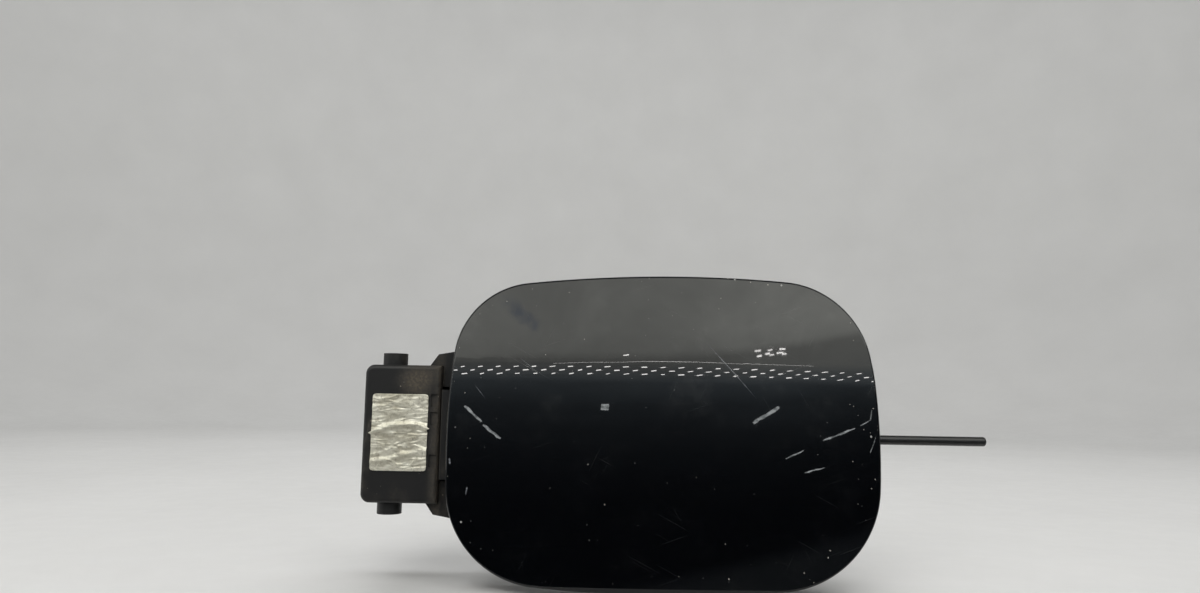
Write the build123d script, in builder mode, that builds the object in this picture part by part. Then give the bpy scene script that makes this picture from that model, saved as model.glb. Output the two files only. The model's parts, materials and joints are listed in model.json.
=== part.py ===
"""Car fuel door: crowned painted door on a gooseneck hinge, filler pocket and lock rod.

Millimetres. X runs from the hinge to the lock, Y into the car, Z up. The origin lies on the
filler neck's axis, in the plane where the pocket meets the neck. Heights named _h are measured
from that plane towards the outside of the car, along -Y. Depths are measured from the painted
face towards the car, square to the face. Lengths named _out run from the door's hinge edge away
from the door, and lengths named _under run from that edge beneath it.
"""

import os
from math import asin, cos, degrees, sin, radians

from build123d import *

os.makedirs("parts", exist_ok=True)

# Door outline
half_w = 95.6
half_h = 70.6
side_bow_r = 435
end_bow_r = 630
top_bow_x = 12
corner_top_hinge_r = 36
corner_top_lock_r = 38
corner_low_hinge_r = 43
corner_low_lock_r = 46.5

# Door face: a lower arc, a crease, a straight upper part, all crowned about one upright axis
face_h = 64
face_r = 400
face_z = -45
crown_r = 1800
crown_half_arc = 6
crease_z = 25
crease_turn = 12
crease_r = 45
section_reach = 95
spline_tolerance = 0.0001

# Door shells
skin_t = 1.8
lip_depth = 6.5
lip_t = 1.6
edge_r = 1.2
inner_t = 1.8
inner_inset = 2.2
bead_inset = 22
bead_w = 4
bead_t = 2
pad_margin = 2

# Hinge and lock share one mid plane
mech_z = -4.6
hinge_out = 27.7
hinge_h = 40.5

# Hinge housing
house_out = 39.4
step_out = 4.7
house_under = 5.6
house_front_h = 49
house_rear_h = 9.4
house_half = 30.9
house_wall = 2.2
house_edge_r = 4
flange_h = 44
flange_t = 2.4
flare_start_out = 10.9
flare_out = 7.2
flare_half = 36.2
tab_under = 23.1
tab_half = 38.5
housing_screw_under = 17.6
housing_screw_edge = 5.5
housing_boss_len = 12
stub_r = 5.55
stub_len = 5.4
latch_w = 3.4
latch_tall = 5.8
latch_edge = 1
latch_z = (15, 7, -12)
latch_deep = 0.8
cover_t = 2.2
boss_r = 3
boss_in = 5.4

# Pin, bushes, barrel and cam
pin_r = 2
pin_low = 33.6
pin_high = 35.8
run_fit = 0.05
bush_r = 3.6
bush_len = 10
bush_flange_r = 5
bush_flange_t = 1.2
pin_boss_r = 5
end_play = 0.3
barrel_r = 5.6
cam_flat = 5.9
cam_corner_r = 7
cam_half = 6
leaf_gap = 0.1
leaf_t = 0.8
leaf_half = 7
leaf_corner_r = 1
leaf_rest = 3

# Gooseneck arm
arm_half = 20
neck_in_r = 25.2
neck_t = 5
spoke_t = 5
arm_plate_h = 45.4
arm_plate_t = 4
arm_under = 33.6
arm_slot_play = 1.4
arm_screw_under = (11.6, 26.6)
arm_screw_z = 13
arm_pad_edge = 6
root_r = 3

# Pocket
bowl_side_in = 31.8
bowl_h = 93.6
bowl_corner_r = 26
bowl_draft = 8
pocket_wall = 2.2
floor_t = 2.6
rim_depth = 21.5
rim_t = 2.4
rim_inset = 8
rib_pitch = 42
rib_t = 2
rib_reach = 57
rib_start_h = 16
neck_hole_r = 30.5
neck_screw_r = 38
neck_screw_hole_r = 2.75
drain_x = 30
drain_h = 11
drain_r = 4.5
drain_bore_r = 3
drain_end_z = -62
seal_tall = 5
seal_w = 2.6
seal_inset = 8.5

# Neck grommet
grommet_bore_r = 26
grommet_flange_r = 34.5
grommet_flange_t = 3
grommet_back_r = 33.5
grommet_sleeve_r = 28.5
grommet_end_h = -12

# Lock
rod_h = 30
rod_r = 2.2
rod_len = 88.5
rod_tip_past = 2.2
rod_end_r = 1.2
rod_travel = 12
guide_boss_r = 6.5
guide_boss_len = 12.2
guide_r = 4
guide_len = 7.6
guide_flange_r = 6
guide_flange_t = 1.5
rod_seal_r = 5
rod_seal_t = 2.5
clip_r = 4.4
clip_t = 1
clip_groove_r = 1.7
striker_in = 6.8
striker_t = 4
striker_half = 8
striker_base_len = 18
striker_base_half = 11
striker_base_t = 2.4
striker_pad_h = 52.5
eye_r = 2.9
striker_screw_in = 11.5
striker_screw_z = 7

# Cap hook
hook_x = 12
hook_z = -33
hook_w = 24
hook_tall = 15
hook_t = 2.2
hook_pad_h = 58
hook_reach = 13
hook_lip = 6

# Bump stops
bump_upper_edge = 18.1
bump_upper_z = 18
bump_lower_edge = (25.6, 28.6)
bump_base_r = 4.5
bump_base_t = 2
bump_stem_r = 3
bump_stem_len = 5
bump_boss_len = 4
seat_proud = 1
bump_r = 3.6
bump_gap = 0.4

# Foil label
foil_w = 25.3
foil_h = 34.3
foil_out = 22.7
foil_z = -4
foil_t = 0.25
foil_corner_r = 1.4

# Screws: head radius, head height, shank radius
big_screw = (3.7, 2.2, 2)
small_screw = (2.8, 1.8, 1.45)
recess_w = 1
recess_deep = 1.1
cover_screw_len = 14
housing_screw_len = 9
arm_screw_len = 10
striker_screw_len = 5.6

# Values that follow
crease_slope = degrees(asin((crease_z - face_z) / face_r))
upper_slope = crease_slope + crease_turn
crease_depth = face_r * (1 - cos(radians(crease_slope)))
inner_depth = skin_t + inner_t
neck_out_r = neck_in_r + neck_t
hinge_x = -half_w - hinge_out
house_left = -half_w - house_out
house_step = -half_w - step_out
house_right = house_under - half_w
flare_start_x = -half_w - flare_start_out
flare_x = -half_w - flare_out
tab_x = tab_under - half_w
housing_screw_x = housing_screw_under - half_w
arm_end_x = arm_under - half_w
arm_screw_x = [under - half_w for under in arm_screw_under]
foil_x = -half_w - foil_out
house_in_left = house_left + house_wall
house_in_right = house_right - house_wall
house_in_front_h = house_front_h - house_wall
house_in_half = house_half - house_wall
arm_top_h = arm_plate_h + arm_plate_t
leaf_x = hinge_x - cam_flat - leaf_gap
bowl_side_x = half_w - bowl_side_in
bowl_w = 2 * bowl_side_x
striker_x = bowl_side_x - striker_in
striker_base_end_x = striker_x + striker_base_len
striker_screw_x = striker_x + striker_screw_in
rod_tip_x = bowl_side_x + rod_tip_past
rod_end_x = rod_tip_x + rod_len
guide_boss_x = bowl_side_x + guide_boss_len
guide_in_x = guide_boss_x - guide_len
guide_end_x = guide_boss_x + guide_flange_t
rod_seal_end_x = guide_end_x + rod_seal_t
clip_x = rod_seal_end_x + rod_travel + end_play
crown_axis = Axis((0, crown_r - face_h, 0), (0, 0, 1))
crown_start = Plane(
    origin=(
        -crown_r * sin(radians(crown_half_arc)),
        crown_r * (1 - cos(radians(crown_half_arc))) - face_h,
        0,
    ),
    x_dir=(sin(radians(crown_half_arc)), cos(radians(crown_half_arc)), 0),
    z_dir=(cos(radians(crown_half_arc)), -sin(radians(crown_half_arc)), 0),
)
arm_screw_spots = [(x, mech_z + s * arm_screw_z) for x in arm_screw_x for s in (-1, 1)]
housing_screw_z = tab_half - housing_screw_edge
housing_screw_spots = [(housing_screw_x, mech_z + s * housing_screw_z) for s in (-1, 1)]
bump_upper = (half_w - bump_upper_edge, bump_upper_z)
bump_lower = (half_w - bump_lower_edge[0], bump_lower_edge[1] - half_h)
cover_x = (house_left + boss_in, house_right - boss_in)
cover_screw_spots = [(x, mech_z + s * (house_half - boss_in)) for x in cover_x for s in (-1, 1)]
striker_screw_spots = [(striker_screw_x, mech_z + s * striker_screw_z) for s in (-1, 1)]


def height(h):
    """Plane square to Y at a height above the neck's mounting plane, drawn in X and Z."""
    return Plane.XZ.offset(h)


def across(x):
    """Plane square to X, drawn in Y and Z."""
    return Plane.YZ.offset(x)


def section_behind(depth):
    """Section of everything deeper than the given depth behind the painted face."""
    with BuildSketch() as region:
        with Locations((face_r, face_z)):
            Circle(face_r - depth)
        reach = depth + face_r
        slope = radians(upper_slope)
        with Locations((crease_depth + reach * cos(slope), crease_z - reach * sin(slope))):
            Rectangle(2 * face_r, 4 * face_r, rotation=-upper_slope, mode=Mode.INTERSECT)
        Rectangle(2 * section_reach, 2 * face_r, mode=Mode.INTERSECT)
        crease = region.vertices().sort_by_distance((crease_depth + depth, crease_z))[0]
        fillet(crease, crease_r - depth)
    # Splines keep the seam of a revolved circle off the front of the face
    return region.sketch.to_splines(tolerance=spline_tolerance)


def behind(depth):
    """Everything deeper than the given depth behind the painted face, as a solid."""
    with BuildPart() as block:
        with BuildSketch(crown_start):
            add(section_behind(depth))
        revolve(axis=crown_axis, revolution_arc=2 * crown_half_arc)
    return block.part


def door_outline(inset):
    """Door outline drawn in X and Z: four bowed sides with rounded corners, drawn in by an inset."""
    with BuildSketch() as outline:
        with Locations((half_w - side_bow_r, 0)):
            Circle(side_bow_r - inset)
        with Locations((side_bow_r - half_w, 0)):
            Circle(side_bow_r - inset, mode=Mode.INTERSECT)
        with Locations((top_bow_x, half_h - end_bow_r)):
            Circle(end_bow_r - inset, mode=Mode.INTERSECT)
        with Locations((0, end_bow_r - half_h)):
            Circle(end_bow_r - inset, mode=Mode.INTERSECT)
        fillet(outline.vertices().sort_by_distance((-half_w, half_h))[0], corner_top_hinge_r - inset)
        fillet(outline.vertices().sort_by_distance((half_w, half_h))[0], corner_top_lock_r - inset)
        fillet(outline.vertices().sort_by_distance((-half_w, -half_h))[0], corner_low_hinge_r - inset)
        fillet(outline.vertices().sort_by_distance((half_w, -half_h))[0], corner_low_lock_r - inset)
    return outline.sketch


def shell_layer(front, back, inset):
    """Layer between two depths behind the painted face, cut to the door outline less an inset."""
    with BuildPart() as layer:
        with BuildSketch(crown_start):
            add(section_behind(front))
            add(section_behind(back), mode=Mode.SUBTRACT)
        revolve(axis=crown_axis, revolution_arc=2 * crown_half_arc)
        with BuildSketch(height(0)):
            add(door_outline(inset))
        extrude(amount=section_reach, mode=Mode.INTERSECT)
    return layer.part


def panel_pad(spot, width, tall, seat_h):
    """Flat pad under the door skin, drawn in X and Z about a spot, with its seat at a height."""
    with BuildPart() as pad:
        with BuildSketch(height(seat_h)):
            with Locations(spot):
                Rectangle(width, tall)
        extrude(amount=face_h)
        add(shell_layer(skin_t, rim_depth, inner_inset), mode=Mode.INTERSECT)
    return pad.part


def screw_set(spots, seat_h, side, size, length):
    """Equal cross-recess screws on one seat; side is 1 for heads outside the seat, -1 for inside."""
    head_r, head_h, shank_r = size
    with BuildPart() as screws:
        with BuildSketch(height(seat_h)):
            with Locations(*spots):
                Circle(head_r)
        extrude(amount=side * head_h)
        crowns = screws.edges().filter_by(GeomType.CIRCLE).group_by(Axis.Y)[0 if side > 0 else -1]
        fillet(crowns, head_h / 2)
        with BuildSketch(height(seat_h)):
            with Locations(*spots):
                Circle(shank_r)
        extrude(amount=-side * length)
        with BuildSketch(height(seat_h + side * head_h)):
            with Locations(*spots):
                Rectangle(recess_w, head_r)
                Rectangle(head_r, recess_w)
        extrude(amount=-side * recess_deep, mode=Mode.SUBTRACT)
    return screws.part


def bump_stop(spot):
    """Rubber buffer in a hole of the rim flange, with its head just clear of the inner panel."""
    x, z = spot
    seat_h = rim_height(x, z)
    with BuildPart() as buffer:
        with BuildSketch(height(seat_h)):
            with Locations(spot):
                Circle(bump_r)
        extrude(amount=face_h)
        add(behind(inner_depth + bump_gap), mode=Mode.INTERSECT)
        with BuildSketch(height(seat_h)):
            with Locations(spot):
                Circle(bump_base_r)
        extrude(amount=bump_base_t)
        with BuildSketch(height(seat_h)):
            with Locations(spot):
                Circle(bump_stem_r)
        extrude(amount=-bump_stem_len)
    return buffer.part


def rim_height(x, z):
    """Height of a flat seat that stands just proud of the rim flange at a point below the crease."""
    sag = face_r - (face_r ** 2 - (z - face_z) ** 2) ** 0.5
    return face_h - rim_depth - sag - x ** 2 / (2 * crown_r) + seat_proud


def hinge_bush(side):
    """Flanged bush in one end of the barrel, turning on the pin."""
    with BuildPart() as bush:
        with BuildSketch(Plane.XY.offset(mech_z + side * (arm_half - bush_len))):
            with Locations((hinge_x, -hinge_h)):
                Circle(bush_r)
        extrude(amount=side * bush_len)
        with BuildSketch(Plane.XY.offset(mech_z + side * arm_half)):
            with Locations((hinge_x, -hinge_h)):
                Circle(bush_flange_r)
        extrude(amount=side * bush_flange_t)
        with BuildSketch(Plane.XY.offset(mech_z)):
            with Locations((hinge_x, -hinge_h)):
                Circle(pin_r + run_fit)
        extrude(amount=side * house_half, mode=Mode.SUBTRACT)
    return bush.part


# Painted outer panel: crowned face, crease and turned lip
skin_slab = shell_layer(0, lip_depth, 0)
skin_hollow = shell_layer(skin_t, lip_depth + skin_t, lip_t)
with BuildPart() as door_skin:
    add(skin_slab)
    add(skin_hollow, mode=Mode.SUBTRACT)
    front = door_skin.faces().filter_by(lambda f: f.normal_at().Y < -0.5)
    fillet([e for e in front.edges() if sum(e in f.edges() for f in front) == 1], edge_r)

# Inner panel with a stiffening bead and flat pads for arm, striker and hook
inner_panel = shell_layer(skin_t, inner_depth, inner_inset)
bead_block = shell_layer(skin_t + inner_t / 2, inner_depth + bead_t, bead_inset)
bead_hole = shell_layer(0, inner_depth + 2 * bead_t, bead_inset + bead_w)
with BuildPart() as inner_bead:
    add(bead_block)
    add(bead_hole, mode=Mode.SUBTRACT)
pad_mid_x = (min(arm_screw_x) + max(arm_screw_x)) / 2
pad_w = max(arm_screw_x) - min(arm_screw_x) + 2 * arm_pad_edge
pad_tall = 2 * (arm_screw_z + arm_pad_edge)
striker_mid_x = (striker_x + striker_base_end_x) / 2
arm_pad = panel_pad((pad_mid_x, mech_z), pad_w, pad_tall, arm_top_h)
arm_pad_core = panel_pad((pad_mid_x, mech_z), pad_w - 2 * house_wall, pad_tall - 2 * house_wall, arm_top_h)
striker_pad = panel_pad(
    (striker_mid_x, mech_z),
    striker_base_end_x - striker_x + pad_margin,
    2 * striker_base_half + pad_margin,
    striker_pad_h,
)
arm_boss_w = 2 * (boss_r + house_wall)
arm_bosses = [panel_pad(spot, arm_boss_w, arm_boss_w, arm_top_h) for spot in arm_screw_spots]
hook_pad = panel_pad((hook_x, hook_z), hook_w + pad_margin, hook_tall + pad_margin, hook_pad_h)
with BuildPart() as door_inner:
    add(arm_pad)
    add(arm_pad_core, mode=Mode.SUBTRACT)
    add(arm_bosses)
    add(striker_pad)
    add(hook_pad)
    add(inner_panel)
    add(inner_bead.part)
    with BuildSketch(height(arm_top_h)):
        with Locations(*arm_screw_spots):
            Circle(big_screw[2])
    extrude(amount=arm_screw_len - arm_plate_t, mode=Mode.SUBTRACT)
    with BuildSketch(height(striker_pad_h)):
        with Locations(*striker_screw_spots):
            Circle(small_screw[2])
    extrude(amount=striker_screw_len - striker_base_t, mode=Mode.SUBTRACT)

# Gooseneck arm: barrel with cam, spoke, neck curved about the pin, plate behind the door
with BuildPart() as hinge_arm:
    with BuildSketch(Plane.XY.offset(mech_z)):
        with Locations((hinge_x, -hinge_h)):
            Circle(neck_out_r)
            Rectangle(
                2 * neck_out_r, neck_out_r + hinge_h, align=(Align.CENTER, Align.MAX), mode=Mode.SUBTRACT
            )
        with Locations((arm_end_x, -arm_plate_h)):
            Rectangle(arm_end_x - hinge_x, arm_plate_t, align=(Align.MAX, Align.MAX))
        with Locations((hinge_x + neck_in_r, -hinge_h)):
            Rectangle(neck_t, arm_plate_h - hinge_h, align=(Align.MIN, Align.MAX))
        with Locations((hinge_x, -hinge_h)):
            Circle(neck_in_r, mode=Mode.SUBTRACT)
            Rectangle(4 * neck_out_r, 4 * neck_out_r, align=(Align.MAX, Align.CENTER), mode=Mode.SUBTRACT)
            Rectangle(spoke_t, neck_in_r + neck_t / 2, align=(Align.CENTER, Align.MIN))
            Circle(barrel_r)
    extrude(amount=arm_half, both=True)
    with BuildSketch(Plane.XY.offset(mech_z)):
        with Locations((hinge_x, -hinge_h)):
            Circle(cam_corner_r)
            Rectangle(2 * cam_flat, 2 * cam_flat, mode=Mode.INTERSECT)
            Rectangle(cam_corner_r, 2 * cam_corner_r, align=(Align.MIN, Align.CENTER), mode=Mode.SUBTRACT)
    extrude(amount=cam_half, both=True)
    with BuildSketch(Plane.XY.offset(mech_z)):
        with Locations((hinge_x, -hinge_h)):
            Circle(pin_r + 2 * end_play)
    extrude(amount=arm_half, both=True, mode=Mode.SUBTRACT)
    for side in (-1, 1):
        with BuildSketch(Plane.XY.offset(mech_z + side * (arm_half - bush_len))):
            with Locations((hinge_x, -hinge_h)):
                Circle(bush_r)
        extrude(amount=side * bush_len, mode=Mode.SUBTRACT)
    with BuildSketch(height(arm_plate_h)):
        with Locations(*arm_screw_spots):
            Circle(big_screw[2])
    extrude(amount=arm_plate_t, mode=Mode.SUBTRACT)

with BuildPart() as hinge_bush_upper:
    add(hinge_bush(1))

with BuildPart() as hinge_bush_lower:
    add(hinge_bush(-1))

with BuildPart() as arm_screws:
    add(screw_set(arm_screw_spots, arm_plate_h, -1, big_screw, arm_screw_len))

# Hinge pin, fixed in the housing
with BuildPart() as hinge_pin:
    with BuildSketch(Plane.XY.offset(mech_z - pin_low)):
        with Locations((hinge_x, -hinge_h)):
            Circle(pin_r)
    extrude(amount=pin_low + pin_high)
    chamfer(hinge_pin.edges().filter_by(GeomType.CIRCLE), pin_r / 5)

# Housing: box with rounded edges, lower flange beside the door, stubs, slot for the neck
with BuildPart() as hinge_housing:
    with BuildSketch(height(house_rear_h)):
        with Locations((house_left, mech_z)):
            Rectangle(house_step - house_left, 2 * house_half, align=(Align.MIN, Align.CENTER))
    extrude(amount=house_front_h - house_rear_h)
    fillet(hinge_housing.edges().filter_by(Axis.Y).group_by(Axis.X)[0], house_edge_r)
    fillet(hinge_housing.faces().sort_by(Axis.Y)[0].edges(), house_edge_r / 2)
    with BuildSketch(height(house_rear_h)):
        with Locations((house_right, mech_z)):
            Rectangle(house_right - house_step + house_wall, 2 * house_half, align=(Align.MAX, Align.CENTER))
    extrude(amount=flange_h - house_rear_h)
    with BuildSketch(height(flange_h)):
        with Locations((0, mech_z)):
            for side in (-1, 1):
                Polygon(
                    (flare_start_x, side * (house_half - house_edge_r)),
                    (flare_start_x, side * house_half),
                    (flare_x, side * flare_half),
                    (house_right, side * tab_half),
                    (tab_x, side * tab_half),
                    (tab_x, side * (house_half - house_edge_r)),
                    align=None,
                )
    extrude(amount=-flange_t)
    fillet(hinge_housing.edges().filter_by(Axis.Y).group_by(Axis.X)[-1], root_r)
    for side in (-1, 1):
        with BuildSketch(Plane.XY.offset(mech_z + side * house_half)):
            with Locations((hinge_x, -hinge_h)):
                Circle(stub_r)
        extrude(amount=side * stub_len)
    stub_ends = hinge_housing.edges().filter_by(GeomType.CIRCLE).sort_by(Axis.Z)
    chamfer([stub_ends[0], stub_ends[-1]], house_edge_r / 6)
    with BuildSketch(height(house_rear_h)):
        with Locations((house_in_left, mech_z)):
            Rectangle(
                house_step - house_wall - house_in_left, 2 * house_in_half, align=(Align.MIN, Align.CENTER)
            )
    extrude(amount=house_in_front_h - house_rear_h, mode=Mode.SUBTRACT)
    with BuildSketch(height(house_rear_h)):
        with Locations((house_in_right, mech_z)):
            Rectangle(
                house_in_right - house_step + 2 * house_wall,
                2 * house_in_half,
                align=(Align.MAX, Align.CENTER),
            )
    extrude(amount=flange_h - flange_t - house_rear_h, mode=Mode.SUBTRACT)
    with BuildSketch(height(hinge_h)):
        with Locations((house_in_right, mech_z)):
            Rectangle(
                house_in_right - house_step + 2 * house_wall,
                2 * (arm_half + arm_slot_play),
                align=(Align.MAX, Align.CENTER),
            )
    extrude(amount=flange_h - hinge_h, mode=Mode.SUBTRACT)
    for side in (-1, 1):
        with BuildSketch(Plane.XY.offset(mech_z + side * (arm_half + bush_flange_t + end_play))):
            with Locations((hinge_x, -hinge_h)):
                Circle(pin_boss_r)
        extrude(amount=side * (house_in_half - arm_half - bush_flange_t - end_play))
        with BuildSketch(height(house_rear_h)):
            with Locations(*[s for s in cover_screw_spots if (s[1] - mech_z) * side > 0]):
                Circle(boss_r)
        extrude(amount=flange_h - flange_t - house_rear_h)
    with BuildSketch(Plane.YZ.offset(house_in_left)):
        with Locations((-house_in_front_h, mech_z)):
            Rectangle(leaf_rest, 2 * leaf_half, align=(Align.MIN, Align.CENTER))
        with Locations((-house_rear_h, mech_z)):
            Rectangle(leaf_rest, 2 * leaf_half, align=(Align.MAX, Align.CENTER))
    extrude(amount=leaf_x - leaf_t - house_in_left)
    with BuildSketch(Plane.XY.offset(mech_z - pin_low)):
        with Locations((hinge_x, -hinge_h)):
            Circle(pin_r)
    extrude(amount=pin_low + house_half + stub_len, mode=Mode.SUBTRACT)
    with BuildSketch(height(house_rear_h)):
        with Locations(*cover_screw_spots):
            Circle(small_screw[2])
    extrude(amount=cover_screw_len - cover_t, mode=Mode.SUBTRACT)
    with BuildSketch(height(flange_h)):
        with Locations(*housing_screw_spots):
            Circle(big_screw[2] + run_fit)
    extrude(amount=-flange_t, mode=Mode.SUBTRACT)
    with BuildSketch(height(house_front_h)):
        with Locations(*[(house_step - latch_edge, mech_z + z) for z in latch_z]):
            Rectangle(latch_w, latch_tall, align=(Align.MAX, Align.CENTER))
    extrude(amount=-latch_deep, mode=Mode.SUBTRACT)

# Rear cover of the housing
with BuildPart() as hinge_back_cover:
    with BuildSketch(height(house_rear_h)):
        with Locations(((house_left + house_right) / 2, mech_z)):
            RectangleRounded(house_right - house_left, 2 * house_half, house_edge_r)
    extrude(amount=-cover_t)
    with BuildSketch(height(house_rear_h)):
        with Locations(*cover_screw_spots):
            Circle(small_screw[2] + run_fit)
    extrude(amount=-cover_t, mode=Mode.SUBTRACT)

with BuildPart() as cover_screws:
    add(screw_set(cover_screw_spots, house_rear_h - cover_t, -1, small_screw, cover_screw_len))

with BuildPart() as housing_screws:
    add(screw_set(housing_screw_spots, flange_h, 1, big_screw, housing_screw_len))

# Leaf spring that the cam rides on
with BuildPart() as hinge_leaf:
    with BuildSketch(Plane.YZ.offset(leaf_x)):
        with Locations((-(house_in_front_h + house_rear_h) / 2, mech_z)):
            RectangleRounded(house_in_front_h - house_rear_h - 2 * leaf_gap, 2 * leaf_half, leaf_corner_r)
    extrude(amount=-leaf_t)

# Bare foil on the front of the housing
with BuildPart() as foil_label:
    with BuildSketch(height(house_front_h)):
        with Locations((foil_x, foil_z)):
            RectangleRounded(foil_w, foil_h, foil_corner_r)
    extrude(amount=foil_t)

# Pocket: drafted bowl, ribs and crowned rim flange, open to the outside
rim_plate = shell_layer(rim_depth, rim_depth + rim_t, rim_inset)
behind_rim = behind(rim_depth + rim_t / 2)
with BuildPart() as pocket:
    with BuildSketch(height(0)):
        RectangleRounded(bowl_w + 2 * pocket_wall, bowl_h + 2 * pocket_wall, bowl_corner_r + pocket_wall)
    extrude(amount=face_h, taper=-bowl_draft)
    with BuildSketch(height(rib_start_h)):
        with GridLocations(rib_pitch, 0, 3, 1):
            Rectangle(rib_t, 2 * rib_reach)
    extrude(amount=face_h)
    add(behind_rim, mode=Mode.INTERSECT)
    add(rim_plate)
    for spot in housing_screw_spots:
        with BuildSketch(height(flange_h - flange_t)):
            with Locations(spot):
                Circle(big_screw[2] + house_wall)
        extrude(amount=-housing_boss_len)
    for spot in (bump_upper, bump_lower):
        with BuildSketch(height(rim_height(*spot))):
            with Locations(spot):
                Circle(bump_base_r)
        extrude(amount=-bump_boss_len)
    with BuildSketch(across(bowl_side_x)):
        with Locations((-rod_h, mech_z)):
            Circle(guide_boss_r)
    extrude(amount=guide_boss_len)
    with BuildSketch(Plane.XY.offset(drain_end_z)):
        with Locations((drain_x, -drain_h)):
            Circle(drain_r)
    extrude(amount=-drain_end_z - bowl_h / 2)
    with BuildSketch(height(floor_t)):
        RectangleRounded(bowl_w, bowl_h, bowl_corner_r)
    extrude(amount=face_h, taper=-bowl_draft, mode=Mode.SUBTRACT)
    with BuildSketch(height(0)):
        Circle(neck_hole_r)
        with PolarLocations(neck_screw_r, 3, start_angle=90):
            Circle(neck_screw_hole_r)
    extrude(amount=floor_t, mode=Mode.SUBTRACT)
    with BuildSketch(across(0)):
        with Locations((-rod_h, mech_z)):
            Circle(guide_r)
    extrude(amount=guide_boss_x, mode=Mode.SUBTRACT)
    with BuildSketch(Plane.XY.offset(drain_end_z)):
        with Locations((drain_x, -drain_h)):
            Circle(drain_bore_r)
    extrude(amount=-drain_end_z, mode=Mode.SUBTRACT)
    for spot in (bump_upper, bump_lower):
        with BuildSketch(height(rim_height(*spot))):
            with Locations(spot):
                Circle(bump_stem_r)
        extrude(amount=-bump_stem_len, mode=Mode.SUBTRACT)
    with BuildSketch(height(flange_h - flange_t)):
        with Locations(*housing_screw_spots):
            Circle(big_screw[2])
    extrude(amount=-housing_screw_len + flange_t, mode=Mode.SUBTRACT)

# Rubber strip round the rim flange, open where the hinge passes
seal_ring = shell_layer(rim_depth - seal_tall, rim_depth, seal_inset)
seal_hole = shell_layer(rim_depth - 2 * seal_tall, rim_depth + seal_tall, seal_inset + seal_w)
with BuildPart() as rim_seal:
    add(seal_ring)
    add(seal_hole, mode=Mode.SUBTRACT)
    with BuildSketch(height(0)):
        with Locations((tab_x, mech_z)):
            Rectangle(half_w, 2 * (tab_half + root_r), align=(Align.MAX, Align.CENTER))
    extrude(amount=face_h, mode=Mode.SUBTRACT)

with BuildPart() as bump_stop_upper:
    add(bump_stop(bump_upper))

with BuildPart() as bump_stop_lower:
    add(bump_stop(bump_lower))

# Rubber ring that grips the pocket floor and seals the filler neck
with BuildPart() as neck_grommet:
    with BuildSketch(Plane.XY):
        with BuildLine():
            Polyline(
                (grommet_bore_r, -floor_t - grommet_flange_t),
                (grommet_flange_r, -floor_t - grommet_flange_t),
                (grommet_flange_r, -floor_t),
                (neck_hole_r, -floor_t),
                (neck_hole_r, 0),
                (grommet_back_r, 0),
                (grommet_back_r, grommet_flange_t),
                (grommet_sleeve_r, grommet_flange_t),
                (grommet_sleeve_r, -grommet_end_h),
                (grommet_bore_r, -grommet_end_h),
                close=True,
            )
        make_face()
    revolve(axis=Axis.Y)

# Lock rod with its guide, wiper and retaining ring
with BuildPart() as rod_guide:
    with BuildSketch(across(guide_in_x)):
        with Locations((-rod_h, mech_z)):
            Circle(guide_r)
    extrude(amount=guide_boss_x - guide_in_x)
    with BuildSketch(across(guide_boss_x)):
        with Locations((-rod_h, mech_z)):
            Circle(guide_flange_r)
    extrude(amount=guide_flange_t)
    with BuildSketch(across(guide_in_x)):
        with Locations((-rod_h, mech_z)):
            Circle(rod_r + run_fit)
    extrude(amount=guide_end_x - guide_in_x, mode=Mode.SUBTRACT)

with BuildPart() as rod_seal:
    with BuildSketch(across(guide_end_x)):
        with Locations((-rod_h, mech_z)):
            Circle(rod_seal_r)
            Circle(rod_r + run_fit, mode=Mode.SUBTRACT)
    extrude(amount=rod_seal_t)
    chamfer(rod_seal.faces().sort_by(Axis.X)[-1].edges().sort_by(SortBy.LENGTH)[-1], rod_seal_t / 2)

with BuildPart() as lock_rod:
    with BuildSketch(across(rod_tip_x)):
        with Locations((-rod_h, mech_z)):
            Circle(rod_r)
    extrude(amount=rod_end_x - rod_tip_x)
    fillet(lock_rod.faces().sort_by(Axis.X)[-1].edges(), rod_end_r)
    chamfer(lock_rod.faces().sort_by(Axis.X)[0].edges(), rod_r / 3)
    with BuildSketch(across(clip_x)):
        with Locations((-rod_h, mech_z)):
            Circle(rod_r)
            Circle(clip_groove_r, mode=Mode.SUBTRACT)
    extrude(amount=clip_t, mode=Mode.SUBTRACT)

with BuildPart() as rod_clip:
    with BuildSketch(across(clip_x)):
        with Locations((-rod_h, mech_z)):
            Circle(clip_r)
            Circle(clip_groove_r, mode=Mode.SUBTRACT)
            Rectangle(clip_r, 2 * clip_groove_r, align=(Align.MIN, Align.CENTER), mode=Mode.SUBTRACT)
    extrude(amount=clip_t)

# Striker: base plate and a lug with the eye that the rod enters
with BuildPart() as lock_striker:
    with BuildSketch(height(striker_pad_h)):
        with Locations((striker_x, mech_z)):
            Rectangle(striker_base_end_x - striker_x, 2 * striker_base_half, align=(Align.MIN, Align.CENTER))
    extrude(amount=-striker_base_t)
    fillet(lock_striker.edges().filter_by(Axis.Y), root_r)
    with BuildSketch(across(striker_x)):
        with Locations((-rod_h, mech_z)):
            Circle(striker_half)
            Rectangle(
                striker_pad_h - rod_h - striker_base_t / 2, 2 * striker_half, align=(Align.MAX, Align.CENTER)
            )
    extrude(amount=striker_t)
    with BuildSketch(across(striker_x)):
        with Locations((-rod_h, mech_z)):
            Circle(eye_r)
    extrude(amount=striker_t, mode=Mode.SUBTRACT)
    with BuildSketch(height(striker_pad_h)):
        with Locations(*striker_screw_spots):
            Circle(small_screw[2])
    extrude(amount=-striker_base_t, mode=Mode.SUBTRACT)

with BuildPart() as striker_screws:
    add(screw_set(striker_screw_spots, striker_pad_h - striker_base_t, -1, small_screw, striker_screw_len))

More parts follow.
